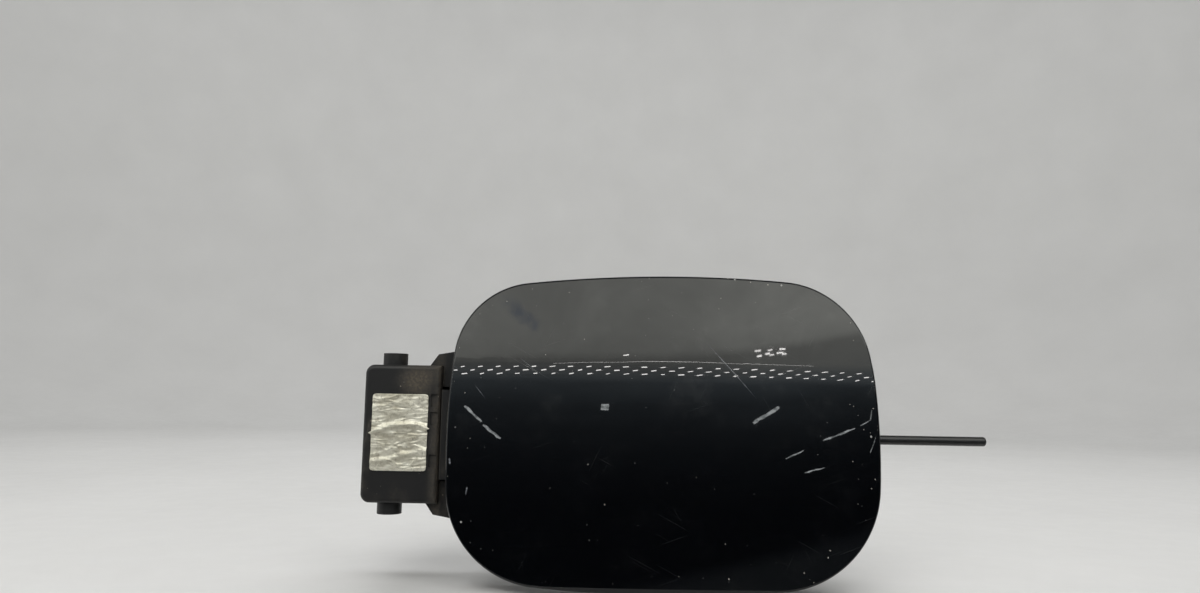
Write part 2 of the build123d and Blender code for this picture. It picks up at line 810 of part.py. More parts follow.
# Hook that holds the filler cap while the tank is filled
with BuildPart() as cap_hook:
    with BuildSketch(height(hook_pad_h)):
        with Locations((hook_x, hook_z)):
            RectangleRounded(hook_w, hook_tall, root_r)
    extrude(amount=-hook_t)
    with BuildSketch(Plane.YZ.offset(hook_x)):
        with Locations((-hook_pad_h + hook_t / 2, hook_z - hook_tall / 4)):
            Rectangle(hook_reach, hook_t, align=(Align.MIN, Align.CENTER))
        with Locations((-hook_pad_h + hook_reach, hook_z - hook_tall / 4 - hook_t / 2)):
            Rectangle(hook_t, hook_lip, align=(Align.MAX, Align.MIN))
    extrude(amount=hook_w / 3, both=True)

pieces = {
    "door_skin": door_skin,
    "door_inner": door_inner,
    "hinge_arm": hinge_arm,
    "hinge_bush_upper": hinge_bush_upper,
    "hinge_bush_lower": hinge_bush_lower,
    "arm_screws": arm_screws,
    "hinge_pin": hinge_pin,
    "hinge_housing": hinge_housing,
    "hinge_back_cover": hinge_back_cover,
    "cover_screws": cover_screws,
    "housing_screws": housing_screws,
    "hinge_leaf": hinge_leaf,
    "foil_label": foil_label,
    "pocket": pocket,
    "rim_seal": rim_seal,
    "bump_stop_upper": bump_stop_upper,
    "bump_stop_lower": bump_stop_lower,
    "neck_grommet": neck_grommet,
    "rod_guide": rod_guide,
    "rod_seal": rod_seal,
    "lock_rod": lock_rod,
    "rod_clip": rod_clip,
    "lock_striker": lock_striker,
    "striker_screws": striker_screws,
    "cap_hook": cap_hook,
}
for name, piece in pieces.items():
    piece.part.label = name
    export_step(piece.part, f"parts/{name}.step")
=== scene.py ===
"""Looks of a car fuel door: gloss paint, dusty moulded plastic, crumpled foil, rubber and steel.

Metres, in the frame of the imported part: X runs from the hinge to the lock, Y into the car, Z up.
"""

import json
import math
import random

import bpy
from mathutils import Matrix, Vector


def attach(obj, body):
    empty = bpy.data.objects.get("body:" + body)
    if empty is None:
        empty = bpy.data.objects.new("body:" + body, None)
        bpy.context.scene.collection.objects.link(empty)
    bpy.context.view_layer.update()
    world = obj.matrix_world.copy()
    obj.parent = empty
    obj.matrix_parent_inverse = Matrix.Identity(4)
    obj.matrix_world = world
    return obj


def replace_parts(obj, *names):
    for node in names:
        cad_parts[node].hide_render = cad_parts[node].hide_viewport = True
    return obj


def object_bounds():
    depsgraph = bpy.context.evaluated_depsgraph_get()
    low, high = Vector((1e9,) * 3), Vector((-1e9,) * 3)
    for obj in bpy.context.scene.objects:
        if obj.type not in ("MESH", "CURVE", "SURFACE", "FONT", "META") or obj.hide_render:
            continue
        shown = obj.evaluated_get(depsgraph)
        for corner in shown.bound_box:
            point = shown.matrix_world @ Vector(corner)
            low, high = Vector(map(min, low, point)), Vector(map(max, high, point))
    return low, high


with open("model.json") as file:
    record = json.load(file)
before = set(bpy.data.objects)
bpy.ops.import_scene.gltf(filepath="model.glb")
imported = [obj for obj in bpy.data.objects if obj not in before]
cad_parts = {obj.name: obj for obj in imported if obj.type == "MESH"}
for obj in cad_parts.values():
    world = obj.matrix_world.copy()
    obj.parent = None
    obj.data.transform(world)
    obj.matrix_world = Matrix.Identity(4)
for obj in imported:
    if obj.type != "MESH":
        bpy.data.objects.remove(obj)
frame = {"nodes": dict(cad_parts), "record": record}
cad_low, cad_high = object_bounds()

MM = 0.001

# Door outline and face, in millimetres, as in the part's source
HALF_W, HALF_H = 95.6, 70.6
SIDE_BOW_R, END_BOW_R, TOP_BOW_X = 435.0, 630.0, 12.0
CORNERS = {"top lock": 38.0, "top hinge": 36.0, "low hinge": 43.0, "low lock": 46.5}
FACE_H, FACE_R, FACE_Z = 64.0, 400.0, -45.0
CROWN_R = 1800.0
CREASE_Z, CREASE_TURN, CREASE_R = 25.0, 12.0, 45.0
SKIN_T, LIP_DEPTH, LIP_T, EDGE_R = 1.8, 6.5, 1.6, 1.2

# Painted panel's mesh, in millimetres: spacing round the door, even band along the edge, how far in the
# middle counts as being, and the number of rings inside the band
OUTLINE_STEP, EDGE_BAND, WELL_IN, INNER_RINGS = 1.4, 19, 60, 34

# Foil on the hinge housing, in millimetres
FOIL_W, FOIL_TALL, FOIL_T = 25.3, 34.3, 0.12
FOIL_X, FOIL_Z, HOUSE_FRONT_H = -118.3, -4.0, 49.0

# Room that the paint mirrors, in metres, as seen from the crease; its lamps hang nearer than its wall
CREASE_Y, CREASE_HEIGHT = -0.055, 0.025
ROOM_REACH, LAMP_REACH, ROOM_HALF_W = 1.25, 1.1, 1.6
# Lifts, in degrees, between which the room's brightness is given
RAMP_LOW, RAMP_HIGH = -10.0, 60.0
# Room behind one pixel of a stroke: metres sideways and degrees of lift
STROKE_X, STROKE_LIFT = 0.0023, 0.21

# Stage and camera: metres, degrees, and millimetres for the lens
FLOOR_GAP = 0.0006
CAMERA_AT, PITCH, ROLL = (-0.0289, -0.437, 0.0143), 6.6, 1.0
SENSOR_W, LENS = 36.0, 25.5

BLACK = (0.0, 0.0, 0.0, 1.0)


class Nodes:
    """Adds nodes to one tree. An input given as a socket is linked, any other value is set."""

    def __init__(self, tree):
        self.tree = tree

    def feed(self, socket, value):
        if isinstance(value, bpy.types.NodeSocket):
            self.tree.links.new(value, socket)
        else:
            socket.default_value = value

    def add(self, kind, inputs=None, out=0, **settings):
        node = self.tree.nodes.new(kind)
        for name, value in settings.items():
            setattr(node, name, value)
        for key, value in (inputs or {}).items():
            self.feed(node.inputs[key], value)
        return node.outputs[out]

    def math(self, operation, a, b=0.0):
        return self.add("ShaderNodeMath", {0: a, 1: b}, operation=operation)

    def vector(self, operation, a, b=(0.0, 0.0, 0.0), out=0):
        return self.add("ShaderNodeVectorMath", {0: a, 1: b}, out, operation=operation)

    def fade(self, value, start, end, low=0.0, high=1.0):
        """Smooth step of a value between two limits; start may lie above end."""
        inputs = {"Value": value, "From Min": start, "From Max": end, "To Min": low, "To Max": high}
        return self.add("ShaderNodeMapRange", inputs, interpolation_type="SMOOTHSTEP")

    def fade_line(self, value, start, end):
        """Straight rise of a value between two limits."""
        return self.add("ShaderNodeMapRange", {"Value": value, "From Min": start, "From Max": end})

    def noise(self, place, scale, detail=2.0, rough=0.5, distortion=0.0):
        inputs = {"Vector": place, "Scale": scale, "Detail": detail, "Roughness": rough}
        return self.add("ShaderNodeTexNoise", {**inputs, "Distortion": distortion})

    def blend(self, share, a, b):
        return self.add("ShaderNodeMix", {0: share, 6: a, 7: b}, 2, data_type="RGBA")


class Finish(Nodes):
    """A material with one principled shader, read in object coordinates."""

    def __init__(self, name, **constants):
        self.material = bpy.data.materials.new(name)
        self.material.use_nodes = True
        super().__init__(self.material.node_tree)
        self.shader = self.tree.nodes["Principled BSDF"]
        for socket, value in constants.items():
            self.shader.inputs[socket.replace("_", " ")].default_value = value
        self.place = self.add("ShaderNodeTexCoord", out="Object")

    def set(self, socket, value):
        self.feed(self.shader.inputs[socket], value)

    def stretched(self, scale):
        return self.vector("MULTIPLY", self.place, scale)

    def bump(self, height, distance, strength=1.0, under=None):
        inputs = {"Height": height, "Distance": distance, "Strength": strength}
        if under is not None:
            inputs["Normal"] = under
        return self.add("ShaderNodeBump", inputs)

    def specks(self, scale, size, share):
        """Scattered dots: one cell in so many carries a dot of a size given as a share of the cell."""
        cells = self.tree.nodes.new("ShaderNodeTexVoronoi")
        self.feed(cells.inputs["Vector"], self.place)
        cells.inputs["Scale"].default_value = scale
        draw = self.add("ShaderNodeSeparateColor", {0: cells.outputs["Color"]})
        chosen = self.fade(draw, 1.0 - share, 1.0 - share + 0.01)
        return self.math("MULTIPLY", self.fade(cells.outputs["Distance"], size, size * 0.6), chosen)

    def hairs(self, angle, level):
        """Short straight hair lines that run at an angle on the face."""
        inputs = {"Vector": self.place, "Axis": (0.0, 1.0, 0.0), "Angle": math.radians(angle)}
        turned = self.add("ShaderNodeVectorRotate", inputs, rotation_type="AXIS_ANGLE")
        streak = self.noise(self.vector("MULTIPLY", turned, (22.0, 0.0, 2400.0)), 1.0, 1.0)
        return self.fade(streak, level, level + 0.06)

    def scratch(self, start, end, width):
        """A ragged scratch between two points of the X-Z plane, widest near its middle."""
        a = Vector((start[0], 0.0, start[1])) * MM
        run = Vector((end[0], 0.0, end[1])) * MM - a
        flat = self.vector("SUBTRACT", self.stretched((1.0, 0.0, 1.0)), a)
        along = self.vector("DOT_PRODUCT", flat, run / run.length_squared, "Value")
        along = self.add("ShaderNodeClamp", {"Value": along})
        foot = self.add("ShaderNodeVectorMath", {0: run, "Scale": along}, operation="SCALE")
        away = self.vector("DISTANCE", flat, foot, "Value")
        ends = self.math("MULTIPLY", along, self.math("SUBTRACT", 1.0, along))
        room = self.fade(ends, 0.0, 0.2, 0.0, width * MM)
        fray = self.fade(self.noise(self.place, 520.0, 3.0, 0.7), 0.3, 0.7, 0.35, 1.3)
        ragged = self.math("MULTIPLY", room, fray)
        return self.fade(self.math("SUBTRACT", away, ragged), 0.00012, -0.0005)


def gloss_paint():
    """Dark gloss paint: a scratch, small scuffs, hair lines, a film whose rise toward the top is painted
    sheen, dust and chips near its edge.
    """
    finish = Finish("gloss paint", Coat_Weight=1.0, Coat_IOR=1.5, Specular_IOR_Level=0.03)
    edge = finish.add("ShaderNodeAttribute", out="Fac", attribute_name="edge_in")
    near_edge = finish.fade(edge, 0.016, 0.0)
    split = finish.tree.nodes.new("ShaderNodeSeparateXYZ")
    finish.feed(split.inputs[0], finish.place)
    flake = finish.noise(finish.place, 5200.0, 1.0)
    tone = finish.noise(finish.place, 14.0, 2.0)
    base = finish.blend(tone, (0.0004, 0.0007, 0.0014, 1.0), (0.0008, 0.0013, 0.0023, 1.0))
    base = finish.blend(finish.fade(flake, 0.66, 0.78, 0.0, 0.12), base, (0.02, 0.024, 0.034, 1.0))
    hairs = finish.hairs(20.0, 0.70)
    for angle, level in ((64.0, 0.71), (118.0, 0.72), (152.0, 0.70)):
        hairs = finish.math("MAXIMUM", hairs, finish.hairs(angle, level))
    hairs = finish.math("MULTIPLY", hairs, finish.fade(finish.noise(finish.place, 26.0, 3.0), 0.42, 0.66))
    scuffs = finish.scratch((19.6, 38.6), (40.8, 14.0), 0.25)
    for start, end, width in (
        ((-85.0, -26.0), (-85.6, -30.0), 0.5),
        ((-93.4, -14.0), (-93.0, -17.0), 0.5),
        ((-64.0, 30.0), (-57.0, 24.5), 0.2),
        ((-84.0, 18.0), (-79.0, 12.0), 0.2),
    ):
        scuffs = finish.math("MAXIMUM", scuffs, finish.scratch(start, end, width))
    torn = finish.fade(finish.noise(finish.place, 700.0, 3.0, 0.7), 0.3, 0.55, 0.35, 1.0)
    scuffs = finish.math("MULTIPLY", scuffs, torn)
    base = finish.blend(finish.math("MULTIPLY", hairs, 0.05), base, (0.4, 0.4, 0.4, 1.0))
    base = finish.blend(finish.math("MULTIPLY", scuffs, 0.5), base, (0.36, 0.38, 0.42, 1.0))
    # Pale grease film on the whole door, faded up toward the top: the film is real, its rise with height is
    # painted sheen of light from above
    film_and_top_sheen = finish.fade(finish.noise(finish.place, 48.0, 9.0, 0.72), 0.5, 0.78)
    film_and_top_sheen = finish.math("MULTIPLY", film_and_top_sheen, finish.fade(split.outputs["Z"], -0.02, 0.034, 0.006, 0.028))
    base = finish.blend(film_and_top_sheen, base, (0.5, 0.5, 0.47, 1.0))
    dust = finish.math("MULTIPLY", finish.specks(640.0, 0.13, 0.03), 0.45)
    chips = finish.math("MULTIPLY", finish.specks(230.0, 0.13, 0.07), near_edge)
    chips = finish.math("MULTIPLY", chips, finish.fade(finish.noise(finish.place, 30.0, 2.0), 0.45, 0.6))
    base = finish.blend(finish.math("MAXIMUM", chips, dust), base, (0.34, 0.34, 0.33, 1.0))
    finish.set("Base Color", base)
    finish.set("Roughness", finish.fade(flake, 0.3, 0.7, 0.35, 0.5))
    bare = finish.math("MAXIMUM", chips, dust)
    haze = finish.fade(finish.noise(finish.place, 9.0, 4.0, 0.6), 0.35, 0.75, 0.006, 0.022)
    rough = finish.math("ADD", haze, finish.math("MULTIPLY", hairs, 0.08))
    rough = finish.math("ADD", rough, finish.math("MULTIPLY", scuffs, 0.3))
    finish.set("Coat Roughness", finish.math("ADD", rough, finish.math("MULTIPLY", bare, 0.5)))
    peel = finish.bump(finish.noise(finish.place, 260.0, 1.0), 0.0000012)
    pits = finish.bump(finish.math("SUBTRACT", 1.0, bare), 0.00005, 0.5, peel)
    finish.set("Coat Normal", pits)
    finish.set("Normal", pits)
    return finish.material


def black_plastic():
    """Grained black plastic, dusty, with a smear and a dirty seam on the hinge housing."""
    finish = Finish("black plastic", Specular_IOR_Level=0.4)
    cloud = finish.noise(finish.place, 55.0, 4.0, 0.6)
    dust = finish.fade(cloud, 0.48, 0.78, 0.0, 0.5)
    split = finish.tree.nodes.new("ShaderNodeSeparateXYZ")
    finish.feed(split.inputs[0], finish.place)
    flat = finish.stretched((1.0, 0.0, 1.3))
    from_smear = finish.vector("DISTANCE", flat, (-0.11, 0.0, 0.025), "Value")
    smear = finish.fade(from_smear, 0.0135, 0.002, 0.0, 0.75)
    seam = finish.fade(split.outputs["X"], -0.1065, -0.1015, 0.0, 0.5)
    seam = finish.math("MULTIPLY", seam, finish.fade(split.outputs["X"], -0.0985, -0.101))
    near_box = finish.math("MAXIMUM", smear, seam)
    near_box = finish.math("MULTIPLY", near_box, finish.fade(cloud, 0.25, 0.6, 0.3, 1.0))
    dust = finish.math("MAXIMUM", dust, near_box)
    patchy = finish.fade(finish.noise(finish.place, 900.0, 3.0), 0.3, 0.7, 0.4, 1.0)
    dust = finish.math("MULTIPLY", dust, patchy)
    base = finish.blend(dust, (0.0125, 0.0122, 0.0125, 1.0), (0.1, 0.082, 0.058, 1.0))
    rubs = finish.math("MULTIPLY", finish.hairs(80.0, 0.66), finish.fade(cloud, 0.5, 0.62, 0.0, 0.35))
    base = finish.blend(rubs, base, (0.2, 0.19, 0.18, 1.0))
    grit = finish.specks(700.0, 0.2, 0.06)
    finish.set("Base Color", finish.blend(finish.math("MULTIPLY", grit, 0.7), base, (0.32, 0.28, 0.22, 1.0)))
    finish.set("Roughness", finish.fade(dust, 0.0, 0.5, 0.46, 0.8))
    grain = finish.bump(finish.noise(finish.place, 1500.0, 3.0, 0.6), 0.00006, 0.55)
    finish.set("Normal", finish.bump(grit, 0.00012, 0.6, grain))
    return finish.material


def pale_plastic():
    """Smooth cream plastic of the bushes and the rod guide."""
    finish = Finish("pale plastic", Specular_IOR_Level=0.45)
    tint = finish.noise(finish.place, 180.0, 3.0)
    finish.set("Base Color", finish.blend(tint, (0.55, 0.52, 0.45, 1.0), (0.68, 0.66, 0.6, 1.0)))
    finish.set("Roughness", finish.fade(finish.noise(finish.place, 600.0, 2.0), 0.3, 0.7, 0.38, 0.55))
    finish.set("Normal", finish.bump(finish.noise(finish.place, 2200.0, 2.0), 0.00003, 0.4))
    return finish.material


def zinc_steel():
    """Zinc plated steel with a fine spangle and some stain."""
    finish = Finish("zinc steel", Metallic=1.0)
    cells = finish.tree.nodes.new("ShaderNodeTexVoronoi")
    finish.feed(cells.inputs["Vector"], finish.place)
    cells.inputs["Scale"].default_value = 520.0
    shade = finish.add("ShaderNodeSeparateColor", {0: cells.outputs["Color"]})
    stain = finish.fade(finish.noise(finish.place, 150.0, 3.0), 0.55, 0.75)
    base = finish.blend(shade, (0.47, 0.47, 0.48, 1.0), (0.62, 0.62, 0.63, 1.0))
    finish.set("Base Color", finish.blend(stain, base, (0.33, 0.31, 0.27, 1.0)))
    finish.set("Roughness", finish.fade(finish.noise(finish.place, 900.0, 2.0), 0.3, 0.7, 0.26, 0.48))
    finish.set("Normal", finish.bump(finish.noise(finish.place, 1300.0, 2.0), 0.00003, 0.35))
    return finish.material


def spring_steel():
    """Blued spring steel with streaks."""
    finish = Finish("spring steel", Metallic=1.0)
    streak = finish.noise(finish.stretched((400.0, 90.0, 1600.0)), 1.0, 3.0)
    finish.set("Base Color", finish.blend(streak, (0.20, 0.22, 0.27, 1.0), (0.36, 0.36, 0.38, 1.0)))
    finish.set("Roughness", finish.fade(streak, 0.3, 0.7, 0.24, 0.42))
    finish.set("Normal", finish.bump(streak, 0.00002, 0.5))
    return finish.material


def foil():
    """Dull silver foil with stains, grime and grit."""
    finish = Finish("silver foil", Metallic=0.45, Specular_IOR_Level=0.6)
    stain = finish.noise(finish.stretched((90.0, 90.0, 140.0)), 1.0, 4.0, 0.65)
    base = finish.blend(finish.fade(stain, 0.4, 0.66), (0.78, 0.755, 0.64, 1.0), (0.5, 0.47, 0.37, 1.0))
    scuff = finish.fade(finish.noise(finish.stretched((240.0, 240.0, 520.0)), 1.0, 4.0, 0.65), 0.54, 0.7)
    base = finish.blend(finish.math("MULTIPLY", scuff, 0.5), base, (0.24, 0.22, 0.17, 1.0))
    grime = finish.fade(finish.noise(finish.place, 420.0, 6.0, 0.75), 0.5, 0.68)
    base = finish.blend(finish.math("MULTIPLY", grime, 0.62), base, (0.2, 0.18, 0.13, 1.0))
    grit = finish.specks(420.0, 0.22, 0.12)
    finish.set("Base Color", finish.blend(finish.math("MULTIPLY", grit, 0.75), base, (0.1, 0.09, 0.07, 1.0)))
    finish.set("Roughness", finish.fade(finish.noise(finish.place, 420.0, 3.0), 0.3, 0.7, 0.34, 0.55))
    finish.set("Normal", finish.bump(finish.noise(finish.place, 1100.0, 3.0), 0.00004, 0.5))
    return finish.material


def black_rubber():
    """Matt black rubber with a pale bloom."""
    finish = Finish("black rubber", Specular_IOR_Level=0.3)
    bloom = finish.fade(finish.noise(finish.place, 90.0, 4.0), 0.45, 0.75, 0.0, 0.5)
    finish.set("Base Color", finish.blend(bloom, (0.014, 0.014, 0.014, 1.0), (0.06, 0.058, 0.054, 1.0)))
    finish.set("Roughness", finish.fade(bloom, 0.0, 0.5, 0.66, 0.88))
    finish.set("Normal", finish.bump(finish.noise(finish.place, 2600.0, 2.0), 0.00004, 0.5))
    return finish.material


def satin_black():
    """Satin black of the lock rod, rubbed along its length."""
    finish = Finish("satin black", Specular_IOR_Level=0.5)
    rub = finish.fade(finish.noise(finish.stretched((60.0, 900.0, 900.0)), 1.0, 3.0), 0.56, 0.72, 0.0, 0.4)
    finish.set("Base Color", finish.blend(rub, (0.012, 0.012, 0.012, 1.0), (0.075, 0.07, 0.064, 1.0)))
    finish.set("Roughness", finish.fade(rub, 0.0, 0.4, 0.34, 0.55))
    finish.set("Normal", finish.bump(finish.noise(finish.place, 1900.0, 2.0), 0.00002, 0.4))
    return finish.material


def dust_bits():
    """Pale dust, for the bits of grit."""
    finish = Finish("dust bits", Specular_IOR_Level=0.2, Roughness=0.85)
    tint = finish.noise(finish.place, 700.0, 2.0)
    finish.set("Base Color", finish.blend(tint, (0.30, 0.28, 0.24, 1.0), (0.62, 0.60, 0.56, 1.0)))
    return finish.material


class DoorFace:
    """The crowned, creased face: depth of its section, its height and its outward normal."""

    def __init__(self):
        slope = math.asin((CREASE_Z - FACE_Z) / FACE_R)
        self.upper = slope + math.radians(CREASE_TURN)
        self.foot = (FACE_R * (1 - math.cos(slope)), CREASE_Z)
        along = (math.sin(self.upper), math.cos(self.upper))
        across = (along[1], -along[0])
        start = (self.foot[0] + CREASE_R * across[0] - FACE_R, self.foot[1] + CREASE_R * across[1] - FACE_Z)
        half = start[0] * along[0] + start[1] * along[1]
        rest = start[0] ** 2 + start[1] ** 2 - (FACE_R - CREASE_R) ** 2
        run = -half + math.sqrt(half * half - rest)
        other = -half - math.sqrt(half * half - rest)
        run = run if abs(run) < abs(other) else other
        centre = (start[0] + run * along[0], start[1] + run * along[1])
        self.round_at = (centre[0] + FACE_R, centre[1] + FACE_Z)
        self.line_z = CREASE_Z + run * along[1]
        self.arc_z = FACE_Z + centre[1] / (FACE_R - CREASE_R) * FACE_R

    def depth(self, z):
        """Depth of the section below the top of the arc, and its slope."""
        if z >= self.line_z:
            slope = math.tan(self.upper)
            return self.foot[0] + (z - CREASE_Z) * slope, slope
        if z > self.arc_z:
            reach = math.sqrt(CREASE_R ** 2 - (z - self.round_at[1]) ** 2)
            return self.round_at[0] - reach, (z - self.round_at[1]) / reach
        reach = math.sqrt(FACE_R ** 2 - (z - FACE_Z) ** 2)
        return FACE_R - reach, (z - FACE_Z) / reach

    def at(self, x, z):
        """Y of the face at X and Z, and its outward normal."""
        depth, slope = self.depth(z)
        reach = math.sqrt((CROWN_R - depth) ** 2 - x * x)
        normal = Vector((x / (CROWN_R - depth), -reach / (CROWN_R - depth), slope)).normalized()
        return CROWN_R - FACE_H - reach, normal


def door_outline(step):
    """Points round the door as (centre, radius, angle) of the arc they lie on, counter-clockwise."""
    sides = [
        ((HALF_W - SIDE_BOW_R, 0.0), SIDE_BOW_R),
        ((TOP_BOW_X, HALF_H - END_BOW_R), END_BOW_R),
        ((SIDE_BOW_R - HALF_W, 0.0), SIDE_BOW_R),
        ((0.0, END_BOW_R - HALF_H), END_BOW_R),
    ]
    fillets = []
    for k, radius in enumerate(CORNERS.values()):
        (a, ra), (b, rb) = sides[k], sides[(k + 1) % 4]
        a, b = Vector(a), Vector(b)
        gap = (b - a).length
        near = (gap * gap + (ra - radius) ** 2 - (rb - radius) ** 2) / (2 * gap)
        off = math.sqrt((ra - radius) ** 2 - near * near)
        towards = (b - a) / gap
        fillets.append((a + towards * near + Vector((-towards.y, towards.x)) * off, radius))
    points = []
    for k in range(4):
        (side, side_r), (corner, corner_r), (last, _) = sides[k], fillets[k], fillets[k - 1]
        following = sides[(k + 1) % 4][0]
        angle_in = math.atan2(last.y - side[1], last.x - side[0])
        angle_mid = math.atan2(corner.y - side[1], corner.x - side[0])
        angle_out = math.atan2(corner.y - following[1], corner.x - following[0])
        arcs = ((Vector(side), side_r, angle_in, angle_mid), (corner, corner_r, angle_mid, angle_out))
        for centre, radius, start, end in arcs:
            sweep = (end - start) % (2 * math.pi)
            count = max(2, round(sweep * radius / step))
            points += [(centre, radius, start + sweep * i / count) for i in range(count)]
    return points


def door_skin_mesh():
    """Painted panel as a closed mesh with exact normals: face, rolled edge, lip and inner side."""
    face, outline = DoorFace(), door_outline(OUTLINE_STEP)
    count = len(outline)
    outward = [Vector((math.cos(a), math.sin(a))) for _, _, a in outline]

    def drawn_in(inset, share=1.0):
        return [(c + n * (r - inset)) * share for (c, r, _), n in zip(outline, outward)]

    rings, edge_in = [], []

    def ring(spots, sink, edge):
        """One ring of points, sunk below the face by a distance along Y or square to the face."""
        made = []
        for spot in spots:
            y, normal = face.at(spot.x, spot.y)
            made.append((Vector((spot.x, y + sink(normal), spot.y)), normal))
        rings.append(made)
        edge_in.append(edge)
        return len(rings) - 1

    bands = []

    def band(a, b, normals_a, normals_b):
        bands.append((a, b, normals_a, normals_b))

    side = [Vector((n.x, 0.0, n.y)) for n in outward]
    back = [Vector((0.0, 1.0, 0.0))] * count
    shares = [1 - (k / INNER_RINGS) for k in range(1, INNER_RINGS)]
    fronts, front_normals = [], []
    for k in range(7):
        turn = math.radians(15 * k)
        inset, drop = EDGE_R * (1 - math.cos(turn)), EDGE_R * (1 - math.sin(turn))
        fronts.append(ring(drawn_in(inset), lambda n, d=drop: d, inset))
        mixed = [(s * math.cos(turn) + p[1] * math.sin(turn)).normalized() for s, p in zip(side, rings[-1])]
        front_normals.append(mixed)
    for inset in (2, 3, 4.2, 5.6, 7, 8.5, 10, 11.5, 13, 14.5, 16, 17.5, EDGE_BAND):
        fronts.append(ring(drawn_in(inset), lambda n: 0.0, inset))
        front_normals.append([p[1] for p in rings[-1]])
    for share in shares:
        fronts.append(ring(drawn_in(EDGE_BAND, share), lambda n: 0.0, EDGE_BAND + 50 * (1 - share)))
        front_normals.append([p[1] for p in rings[-1]])
    for k in range(len(fronts) - 1):
        band(fronts[k], fronts[k + 1], front_normals[k], front_normals[k + 1])
    lip_out = ring(drawn_in(0), lambda n: LIP_DEPTH / -n.y, 0)
    lip_in = ring(drawn_in(LIP_T), lambda n: LIP_DEPTH / -n.y, 0)
    band(lip_out, fronts[0], side, side)
    band(lip_in, lip_out, back, back)
    hollow = [ring(drawn_in(LIP_T), lambda n: SKIN_T / -n.y, 0)]
    inward = [-s for s in side]
    band(hollow[0], lip_in, inward, inward)
    for share in [1.0, *shares[1::4]]:
        hollow.append(ring(drawn_in(EDGE_BAND, share), lambda n: SKIN_T / -n.y, WELL_IN))
    for a, b in zip(hollow, hollow[1:]):
        band(b, a, [-p[1] for p in rings[b]], [-p[1] for p in rings[a]])

    verts = [p * MM for made in rings for p, _ in made]
    edges = [e * MM for e in edge_in for _ in range(count)]
    faces, normals = [], []
    for a, b, normals_a, normals_b in bands:
        for i in range(count):
            j = (i + 1) % count
            faces.append((a * count + i, a * count + j, b * count + j, b * count + i))
            normals += [normals_a[i], normals_a[j], normals_b[j], normals_b[i]]
    for last, sink, sign in ((fronts[-1], 0.0, 1), (hollow[-1], SKIN_T, -1)):
        y, normal = face.at(0.0, 0.0)
        verts.append(Vector((0.0, y - sink / normal.y, 0.0)) * MM)
        edges.append(WELL_IN * MM)
        for i in range(count):
            j = (i + 1) % count
            pair = (i, j) if sign > 0 else (j, i)
            faces.append((last * count + pair[0], last * count + pair[1], len(verts) - 1))
            normals += [rings[last][pair[0]][1] * sign, rings[last][pair[1]][1] * sign, normal * sign]
    mesh = bpy.data.meshes.new("door skin")
    mesh.from_pydata(verts, [], faces)
    mesh.polygons.foreach_set("use_smooth", [True] * len(faces))
    mesh.attributes.new("edge_in", "FLOAT", "POINT").data.foreach_set("value", edges)
    mesh.normals_split_custom_set(normals)
    return mesh


def add_piece(name, mesh, body):
    """Puts a mesh in the scene on a body."""
    piece = bpy.data.objects.new(name, mesh)
    bpy.context.scene.collection.objects.link(piece)
    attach(piece, body)
    return piece


def grown(name, tree, base, **inputs):
    """Mesh that a node tree makes from a base mesh with the given inputs."""
    holder = bpy.data.objects.new(name, base)
    bpy.context.scene.collection.objects.link(holder)
    modifier = holder.modifiers.new(name, "NODES")
    modifier.node_group = tree
    for socket in tree.interface.items_tree:
        if socket.in_out == "INPUT" and socket.name in inputs:
            modifier[socket.identifier] = inputs[socket.name]
    holder.update_tag()
    seen = holder.evaluated_get(bpy.context.evaluated_depsgraph_get())
    mesh = bpy.data.meshes.new_from_object(seen)
    bpy.data.objects.remove(holder)
    mesh.name = name
    return mesh


def new_tree(name, inputs):
    """Geometry tree with named number inputs; returns it with its node adder and input sockets."""
    tree = bpy.data.node_groups.new(name, "GeometryNodeTree")
    tree.interface.new_socket("Geometry", in_out="INPUT", socket_type="NodeSocketGeometry")
    for label, value in inputs.items():
        kind = "NodeSocketInt" if isinstance(value, int) else "NodeSocketFloat"
        tree.interface.new_socket(label, in_out="INPUT", socket_type=kind).default_value = value
    tree.interface.new_socket("Geometry", in_out="OUTPUT", socket_type="NodeSocketGeometry")
    given = tree.nodes.new("NodeGroupInput").outputs
    return tree, Nodes(tree), given


def close_tree(nodes, geometry, material):
    """Ends a tree: smooth faces, real geometry and one material."""
    smooth = nodes.add("GeometryNodeSetShadeSmooth", {0: geometry})
    real = nodes.add("GeometryNodeRealizeInstances", {0: smooth})
    done = nodes.add("GeometryNodeSetMaterial", {"Geometry": real, "Material": material})
    nodes.feed(nodes.tree.nodes.new("NodeGroupOutput").inputs["Geometry"], done)


